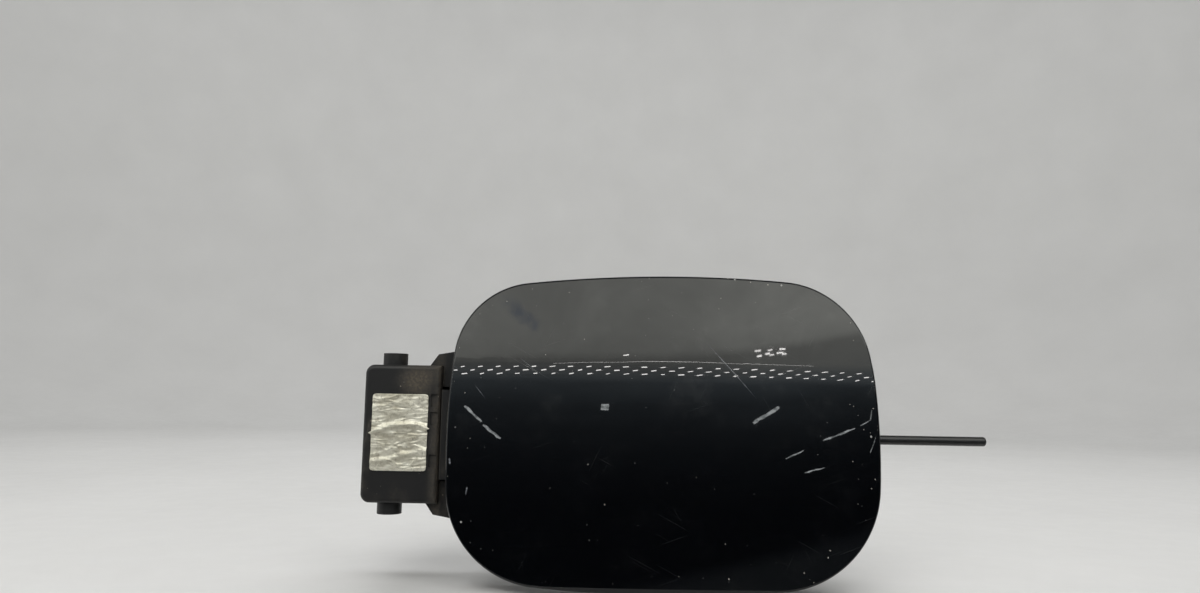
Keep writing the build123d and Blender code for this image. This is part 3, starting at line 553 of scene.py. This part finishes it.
def foil_tree(material):
    """Thin sheet with level creases, a fine crumple, two raised folds and ragged, torn sides."""
    tree, nodes, given = new_tree(
        "crumpled foil",
        {
            "Width": 0.02, "Tall": 0.03, "Thick": 0.0001, "Crease": 0.00032, "Crumple": 0.0003,
            "Fold": 0.001, "Ragged": 0.0004, "Corner": 0.0014,
        },
    )
    size = nodes.add("ShaderNodeCombineXYZ", {0: given["Width"], 1: given["Thick"], 2: given["Tall"]})
    counts = {"Vertices X": 90, "Vertices Y": 2, "Vertices Z": 130}
    sheet = nodes.add("GeometryNodeMeshCube", {"Size": size, **counts})
    place = nodes.add("GeometryNodeInputPosition")
    flat = nodes.vector("MULTIPLY", place, (1.0, 0.0, 1.0))
    split = nodes.tree.nodes.new("ShaderNodeSeparateXYZ")
    nodes.feed(split.inputs[0], place)
    across, up = split.outputs["X"], split.outputs["Z"]
    level = nodes.noise(nodes.vector("MULTIPLY", flat, (70.0, 0.0, 230.0)), 1.0, 2.0, 0.5, 0.8)
    ridge = nodes.math("ABSOLUTE", nodes.math("SUBTRACT", level, 0.5))
    crease = nodes.math("MULTIPLY", nodes.fade(ridge, 0.16, 0.0), given["Crease"])
    crumple = nodes.math("MULTIPLY", nodes.noise(flat, 240.0, 3.0, 0.6), given["Crumple"])
    wander = nodes.math("MULTIPLY", nodes.math("SUBTRACT", nodes.noise(flat, 70.0, 2.0), 0.5), 0.005)
    lean = nodes.math("SUBTRACT", nodes.math("ADD", up, wander), nodes.math("MULTIPLY", across, 0.107))
    lean = nodes.math("ADD", lean, nodes.math("MULTIPLY", nodes.math("MULTIPLY", across, across), 13.5))
    from_fold = nodes.math("ABSOLUTE", nodes.math("SUBTRACT", lean, 0.0030))
    fold = nodes.math("MULTIPLY", nodes.fade(from_fold, 0.0021, 0.0), given["Fold"])
    lean = nodes.math("SUBTRACT", nodes.math("ADD", up, wander), nodes.math("MULTIPLY", across, 0.2))
    from_low = nodes.math("ABSOLUTE", nodes.math("ADD", lean, 0.0105))
    low_height = nodes.math("MULTIPLY", given["Fold"], 0.55)
    low_fold = nodes.math("MULTIPLY", nodes.fade(from_low, 0.0024, 0.0), low_height)
    rise = nodes.math("ADD", nodes.math("ADD", crease, crumple), nodes.math("ADD", fold, low_fold))
    half_wide = nodes.math("MULTIPLY", given["Width"], 0.5)
    share = nodes.math("POWER", nodes.math("DIVIDE", across, half_wide), 5.0)
    heights = nodes.vector("MULTIPLY", flat, (0.0, 0.0, 330.0))
    tear = nodes.math("SUBTRACT", nodes.noise(heights, 1.0, 3.0, 0.7), 0.6)
    tail = nodes.math("MULTIPLY", nodes.fade(from_fold, 0.0007, 0.0), 3.0)
    side = nodes.math("MULTIPLY", share, nodes.math("ADD", tear, tail))
    side = nodes.math("MULTIPLY", side, given["Ragged"])
    corner = given["Corner"]
    straight = nodes.math("SUBTRACT", nodes.math("MULTIPLY", given["Tall"], 0.5), corner)
    past = nodes.math("MAXIMUM", nodes.math("SUBTRACT", nodes.math("ABSOLUTE", up), straight), 0.0)
    left = nodes.math("SUBTRACT", nodes.math("MULTIPLY", corner, corner), nodes.math("MULTIPLY", past, past))
    cut = nodes.math("SUBTRACT", corner, nodes.math("SQRT", nodes.math("MAXIMUM", left, 0.0)))
    side = nodes.math("SUBTRACT", side, nodes.math("MULTIPLY", cut, share))
    offset = nodes.add("ShaderNodeCombineXYZ", {0: side, 1: nodes.math("MULTIPLY", rise, -1.0)})
    moved = nodes.add("GeometryNodeSetPosition", {"Geometry": sheet, "Offset": offset})
    close_tree(nodes, moved, material)
    return tree


def speck_tree(material):
    """Small flattened bits of grit on the painted face, more of them near its edge."""
    tree, nodes, given = new_tree(
        "grit on paint",
        {"Open": 600.0, "Near edge": 6000.0, "Reach": 0.02, "Small": 0.00007, "Large": 0.00022, "Seed": 1},
    )
    edge = nodes.add("GeometryNodeInputNamedAttribute", {"Name": "edge_in"}, data_type="FLOAT")
    facing = nodes.vector("DOT_PRODUCT", nodes.add("GeometryNodeInputNormal"), (0.0, -1.0, 0.0), "Value")
    density = nodes.fade(edge, given["Reach"], 0.0, given["Open"], given["Near edge"])
    density = nodes.math("MULTIPLY", density, nodes.math("GREATER_THAN", facing, 0.5))
    spread = nodes.tree.nodes.new("GeometryNodeDistributePointsOnFaces")
    nodes.feed(spread.inputs["Mesh"], given["Geometry"])
    nodes.feed(spread.inputs["Density"], density)
    nodes.feed(spread.inputs["Seed"], given["Seed"])
    bit = nodes.add("GeometryNodeMeshIcoSphere", {"Radius": 1.0, "Subdivisions": 2})
    sizes = {2: given["Small"], 3: given["Large"], "Seed": given["Seed"]}
    size = nodes.add("FunctionNodeRandomValue", sizes, 1)
    long = nodes.add("FunctionNodeRandomValue", {2: 0.7, 3: 1.9, "Seed": 7}, 1)
    shape = nodes.add("ShaderNodeCombineXYZ", {0: long, 1: 1.0, 2: 0.35})
    scale = nodes.add("ShaderNodeVectorMath", {0: shape, "Scale": size}, operation="SCALE")
    turn = nodes.add("FunctionNodeRandomValue", {2: 0.0, 3: 2 * math.pi, "Seed": 11}, 1)
    spin = nodes.add("FunctionNodeAxisAngleToRotation", {"Axis": (0.0, 0.0, 1.0), "Angle": turn})
    turns = {0: spread.outputs["Rotation"], 1: spin}
    turned = nodes.add("FunctionNodeRotateRotation", turns, rotation_space="LOCAL")
    bits = nodes.add(
        "GeometryNodeInstanceOnPoints",
        {"Points": spread.outputs["Points"], "Instance": bit, "Rotation": turned, "Scale": scale},
    )
    close_tree(nodes, bits, material)
    return tree


def build_pieces(finishes):
    """The painted panel, the grit on it and the crumpled foil."""
    skin_mesh = door_skin_mesh()
    skin_mesh.materials.append(finishes["gloss_paint"])
    skin = add_piece("painted_panel", skin_mesh, "door")
    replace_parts(skin, "door_skin")

    grit = grown("grit", speck_tree(dust_bits()), skin_mesh, Seed=4)
    add_piece("grit", grit, "door")

    foil_mesh = grown(
        "foil sheet", foil_tree(finishes["foil"]), bpy.data.meshes.new("seed"),
        Width=FOIL_W * MM, Tall=FOIL_TALL * MM, Thick=FOIL_T * MM,
    )
    foil_mesh.transform(Matrix.Translation(Vector((FOIL_X, -HOUSE_FRONT_H - FOIL_T / 2, FOIL_Z)) * MM))
    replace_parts(add_piece("crumpled_foil", foil_mesh, "body_side"), "foil_label")


def quad_mesh(name, corners):
    """Mesh of separate faces with four corners each."""
    mesh = bpy.data.meshes.new(name)
    points = [v for quad in corners for v in quad]
    mesh.from_pydata(points, [], [tuple(range(4 * k, 4 * k + 4)) for k in range(len(corners))])
    return mesh


def add_stage(name, mesh, material):
    """Puts a mesh in the scene as a thing of the stage."""
    thing = bpy.data.objects.new(name, mesh)
    thing.data.materials.append(material)
    bpy.context.scene.collection.objects.link(thing)
    return thing


def room_spot(x, lift, reach):
    """Point of the room in front of the door: X, and degrees above level as seen from the crease."""
    turn = math.radians(lift)
    return Vector((x, CREASE_Y - reach * math.cos(turn), CREASE_HEIGHT + reach * math.sin(turn)))


def mirror_only(thing):
    """Shows a thing in reflections alone."""
    thing.visible_camera = thing.visible_diffuse = thing.visible_shadow = False


def dim_room():
    """Room that the paint mirrors: cloudy ceiling, darker wall, dark below, told apart by their lift."""
    room = Finish("dim room", Base_Color=BLACK, Emission_Strength=1.0)
    split = room.tree.nodes.new("ShaderNodeSeparateXYZ")
    room.feed(split.inputs[0], room.place)
    x, y, z = split.outputs
    above, ahead = room.math("SUBTRACT", z, CREASE_HEIGHT), room.math("SUBTRACT", CREASE_Y, y)
    lift = room.math("ARCTAN2", above, ahead)
    lift = room.math("DEGREES", lift)
    right = room.math("MAXIMUM", x, 0.0)
    slanted = room.math("SUBTRACT", lift, room.math("MULTIPLY", room.math("MULTIPLY", right, right), 10.0))
    ramp = room.tree.nodes.new("ShaderNodeValToRGB")
    room.feed(ramp.inputs[0], room.fade_line(slanted, RAMP_LOW, RAMP_HIGH))
    stops = (
        (-8.0, 0.0), (-2.0, 0.01), (4.0, 0.03), (9.0, 0.08), (14.0, 0.17), (17.0, 0.3), (20.0, 0.42),
        (24.0, 0.6), (30.0, 0.72), (38.0, 0.85), (44.0, 1.0), (46.6, 1.15), (47.4, 1.9), (49.0, 2.15),
        (60.0, 2.2),
    )
    for k, (degrees, level) in enumerate(stops):
        cool = min(max((46.0 - degrees) / 30.0, 0.0), 1.0)
        tone = (level * (0.99 - 0.15 * cool), level, level * (0.93 + 0.17 * cool), 1.0)
        spot = ramp.color_ramp.elements[k] if k < 2 else ramp.color_ramp.elements.new(0.99)
        spot.position, spot.color = (degrees - RAMP_LOW) / (RAMP_HIGH - RAMP_LOW), tone
    wave = room.noise(room.stretched((3.0, 3.0, 7.0)), 1.0, 6.0, 0.65, 0.6)
    cloud = room.math("MULTIPLY", room.fade(wave, 0.3, 0.7, 0.86, 1.12), room.fade(x, 0.15, 0.38, 1.0, 1.28))
    tint = room.add("ShaderNodeVectorMath", {0: ramp.outputs[0], "Scale": cloud}, operation="SCALE")
    # Bluish patch high on the left
    side = room.math("DIVIDE", room.math("ADD", x, 0.257), 0.04)
    height = room.math("DIVIDE", room.math("SUBTRACT", lift, 50.9), 1.26)
    along = room.math("MULTIPLY", room.math("SUBTRACT", side, height), 0.55)
    across = room.math("MULTIPLY", room.math("ADD", side, height), 1.25)
    squares = [room.math("MULTIPLY", reach, reach) for reach in (along, across)]
    away = room.math("SQRT", room.math("ADD", *squares))
    away = room.math("ADD", away, room.fade(room.noise(room.place, 22.0, 4.0, 0.6), 0.2, 0.8, -0.6, 0.6))
    tint = room.blend(room.fade(away, 1.3, 0.4, 0.0, 0.5), tint, (0.7, 0.9, 1.35, 1.0))
    # Slanted edge of the table, below
    edge = room.math("SUBTRACT", lift, room.math("SUBTRACT", room.math("MULTIPLY", x, 20.0), 22.7))
    tint = room.blend(room.fade(edge, 1.6, -3.5, 0.0, 1.0), tint, (0.075, 0.085, 0.09, 1.0))
    room.set("Emission Color", tint)
    lifts = range(-48, 78, 3)
    half = ROOM_HALF_W
    strips = []
    for a, b in zip(lifts, lifts[1:]):
        corners = ((-half, a), (half, a), (half, b), (-half, b))
        strips.append([room_spot(*corner, ROOM_REACH) for corner in corners])
    mirror_only(add_stage("dim room", quad_mesh("dim room", strips), room.material))
    wall = Finish("side wall", Base_Color=BLACK, Emission_Strength=1.0)
    wave = wall.fade(wall.noise(wall.place, 2.0, 3.0), 0.3, 0.7)
    wall.set("Emission Color", wall.blend(wave, (0.7, 0.72, 0.72, 1.0), (1.1, 1.1, 1.08, 1.0)))
    corners = [(-half, -1.4, -0.07), (-half, 0.1, -0.07), (-half, 0.1, 1.2), (-half, -1.4, 1.2)]
    mirror_only(add_stage("side wall", quad_mesh("side wall", [corners]), wall.material))


def lamp_dots():
    """Three staggered rows of small lamps, a small group above them and one thin lamp between."""
    warm = (1.0, 0.98, 0.95, 1.0)
    glow = Finish("lamp glow", Base_Color=BLACK, Emission_Strength=22.0, Emission_Color=warm)
    pitch, first_lift, row_gap, bow = 0.041, 27.6, 4.5, 2.4
    row_dot, group_dot = (0.0066, 0.011), (0.0075, 0.0014)
    spots = []
    for row in range(3):
        for k in range(-20, 23):
            x = (k + (row % 2) / 2) * pitch
            lift = first_lift + row_gap * row + bow * (1 - ((x - 0.075) / 0.43) ** 2)
            spots.append((x, lift, *row_dot))
    for k in range(3):
        x, lift = 0.292 + 0.028 * k, 47.5 + 0.17 * k
        spots += [(x, lift + 0.44, *group_dot), (x + 0.004, lift, *group_dot)]
        spots += [(x + 0.022, lift + 0.24, *group_dot)] if k < 2 else []
    spots.append((0.001, 47.1, 0.007, 0.0013))
    dots, uneven = [], random.Random(5)
    for x, lift, half_wide, half_tall in spots:
        at, lean = room_spot(x, lift, LAMP_REACH), math.radians(lift)
        up = Vector((0.0, math.sin(lean), math.cos(lean))) * half_tall
        across = Vector((half_wide * uneven.uniform(0.65, 1.0), 0.0, 0.0)) + up * uneven.uniform(0.3, 1.1)
        up *= uneven.uniform(0.7, 1.1)
        dots.append([at - across - up, at - across + up, at + across + up, at + across - up])
    run = ((-0.16, 42.0), (-0.1, 43.6), (0.03, 45.5), (0.164, 45.7), (0.343, 45.3), (0.42, 44.8))
    thick = 0.14
    for (x_a, low_a), (x_b, low_b) in zip(run, run[1:]):
        corners = ((x_a, low_a), (x_a, low_a + thick), (x_b, low_b + thick), (x_b, low_b))
        dots.append([room_spot(*corner, LAMP_REACH) for corner in corners])
    mirror_only(add_stage("lamp rows", quad_mesh("lamp rows", dots), glow.material))


def lamp_strips():
    """Short, uneven strip lamps of the booth, which show as bright strokes on the dark lower face."""
    glow = Finish("strip glow", Base_Color=BLACK, Emission_Strength=7.0)
    worn = glow.fade(glow.noise(glow.place, 75.0, 3.0, 0.6), 0.35, 0.62)
    glow.set("Emission Color", glow.blend(worn, (0.3, 0.33, 0.33, 1.0), (0.95, 1.0, 1.0, 1.0)))
    strips, uneven = [], random.Random(8)
    for start, end, width in (
        ((-0.37, 13.76), (-0.329, 10.37), 3.2),
        ((-0.325, 9.74), (-0.284, 6.73), 3.0),
        ((0.348, 14.56), (0.287, 11.01), 4.0),
        ((0.528, 10.43), (0.45, 7.55), 2.3),
        ((0.405, 5.43), (0.361, 3.54), 1.5),
        ((0.451, 1.79), (0.403, 0.69), 1.8),
        ((0.571, 14.53), (0.567, 12.27), 1.0),
        ((0.567, 12.27), (0.542, 10.94), 1.0),
        ((0.578, 8.53), (0.564, 5.08), 0.8),
        ((-0.048, 14.5), (-0.048, 13.2), 9.0),
    ):
        a = Vector((start[0] / STROKE_X, start[1] / STROKE_LIFT))
        b = Vector((end[0] / STROKE_X, end[1] / STROKE_LIFT))
        along = (b - a).normalized()
        side = Vector((-along.y, along.x))
        loose, count = min(width / 2, 1.2), max(4, round((b - a).length / 4))
        marks = []
        for k in range(count + 1):
            middle = a.lerp(b, k / count) + side * loose * uneven.uniform(-0.35, 0.35)
            half = side * (width / 2 - loose * (0.65 if k in (0, count) else uneven.uniform(0.0, 0.65)))
            marks.append((middle - half, middle + half))
        for (low_a, high_a), (low_b, high_b) in zip(marks, marks[1:]):
            corners = (low_a, low_b, high_b, high_a)
            strips.append([room_spot(p.x * STROKE_X, p.y * STROKE_LIFT, LAMP_REACH) for p in corners])
    mirror_only(add_stage("strip lamps", quad_mesh("strip lamps", strips), glow.material))


def half_dish(name, start, floor_z, material):
    """Half of a round floor that bends up into a wall, from a start angle on, counter-clockwise."""
    middle_y, far, bend, top, count = -0.074, 2.5, 0.8, 3.2, 49
    profile = [(0.0, 0.0), (0.4, 0.0), (far - bend, 0.0)]
    for k in range(1, 17):
        turn = math.radians(90 * k / 16)
        profile.append((far - bend + bend * math.sin(turn), bend * (1 - math.cos(turn))))
    profile.append((far, top))
    angles = [start + math.pi * i / (count - 1) for i in range(count)]
    verts = [
        (r * math.cos(a), middle_y + r * math.sin(a), floor_z + rise)
        for r, rise in profile
        for a in angles
    ]
    faces = []
    for j in range(len(profile) - 1):
        for i in range(count - 1):
            near, out = j * count + i, (j + 1) * count + i
            faces.append((near, out, out + 1, near + 1))
    mesh = bpy.data.meshes.new(name)
    mesh.from_pydata(verts, [], faces)
    mesh.polygons.foreach_set("use_smooth", [True] * len(faces))
    return add_stage(name, mesh, material)


def build_stage():
    """Pale table and walls, soft light from above and in front, and the room that the paint mirrors."""
    pale = Finish("pale table", Specular_IOR_Level=0.3)
    mottle = pale.noise(pale.place, 7.0, 4.0)
    pale.set("Base Color", pale.blend(mottle, (0.66, 0.66, 0.65, 1.0), (0.74, 0.74, 0.73, 1.0)))
    pale.set("Roughness", pale.fade(pale.noise(pale.place, 60.0, 2.0), 0.3, 0.7, 0.5, 0.7))
    floor_z = cad_low.z - FLOOR_GAP
    half_dish("table", 0.0, floor_z, pale.material)
    # The front half stays out of mirror images, so that the paint looks into a dark room
    half_dish("front table", math.pi, floor_z, pale.material).visible_glossy = False

    dim_room()
    lamp_dots()
    lamp_strips()

    for name, place, aim, size, power, tint in (
        ("overhead soft box", (0.05, -0.88, 1.03), (0.0, -0.06, 0.04), (1.8, 0.7), 7.2, (1.0, 0.99, 0.96)),
        ("backdrop wash", (0.0, 0.7, 1.9), (0.0, 1.7, 0.2), (2.4, 0.8), 20.0, (1.0, 1.0, 1.0)),
        ("table wash", (0.0, 0.3, 1.6), (0.0, 0.1, -0.07), (1.6, 0.6), 5.2, (1.0, 1.0, 1.0)),
        ("front fill", (-0.25, -1.1, 0.85), (-0.05, -0.05, 0.0), (0.8, 0.5), 4.2, (1.0, 0.99, 0.97)),
        ("front wall wash", (0.0, -0.8, 1.9), (0.0, -1.8, 0.2), (2.4, 0.8), 9.0, (1.0, 1.0, 1.0)),
    ):
        data = bpy.data.lights.new(name, "AREA")
        data.shape, data.size, data.size_y = "RECTANGLE", size[0], size[1]
        data.energy, data.color = power, tint
        lamp = bpy.data.objects.new(name, data)
        lamp.location = place
        lamp.rotation_mode = "QUATERNION"
        lamp.rotation_quaternion = (Vector(aim) - Vector(place)).to_track_quat("-Z", "Y")
        lamp.visible_camera = lamp.visible_glossy = False
        bpy.context.scene.collection.objects.link(lamp)

    world = bpy.data.worlds.new("room")
    world.use_nodes = True
    world.node_tree.nodes["Background"].inputs["Color"].default_value = (0.08, 0.08, 0.083, 1.0)
    bpy.context.scene.world = world
    bpy.context.scene.view_settings.view_transform = "Standard"


def place_camera():
    """Camera of the photograph: a little left of the middle, close, looking slightly up."""
    pitch, roll = math.radians(PITCH), math.radians(ROLL)
    right = Vector((math.cos(roll), -math.sin(roll) * math.sin(pitch), math.sin(roll) * math.cos(pitch)))
    forward = Vector((0.0, math.cos(pitch), math.sin(pitch)))
    camera = bpy.data.objects.new("camera", bpy.data.cameras.new("camera"))
    camera.data.sensor_width, camera.data.lens = SENSOR_W, LENS
    camera.data.clip_start, camera.data.clip_end = 0.01, 50.0
    camera.matrix_world = Matrix.Translation(CAMERA_AT) @ Matrix(
        (right, right.cross(forward), -forward)
    ).transposed().to_4x4()
    bpy.context.scene.collection.objects.link(camera)
    bpy.context.scene.camera = camera


def dress_cad_nodes(finishes):
    """Gives each CAD node the finish of its slot in the record."""
    for row in frame["record"]["subparts"]:
        node = frame["nodes"][row["node"]]
        node.data.materials.clear()
        node.data.materials.append(finishes[row["material_slot"]])


finishes = {
    "gloss_paint": gloss_paint(),
    "black_plastic": black_plastic(),
    "pale_plastic": pale_plastic(),
    "zinc_steel": zinc_steel(),
    "spring_steel": spring_steel(),
    "foil": foil(),
    "black_rubber": black_rubber(),
    "satin_black": satin_black(),
}
dress_cad_nodes(finishes)
build_pieces(finishes)
build_stage()
place_camera()
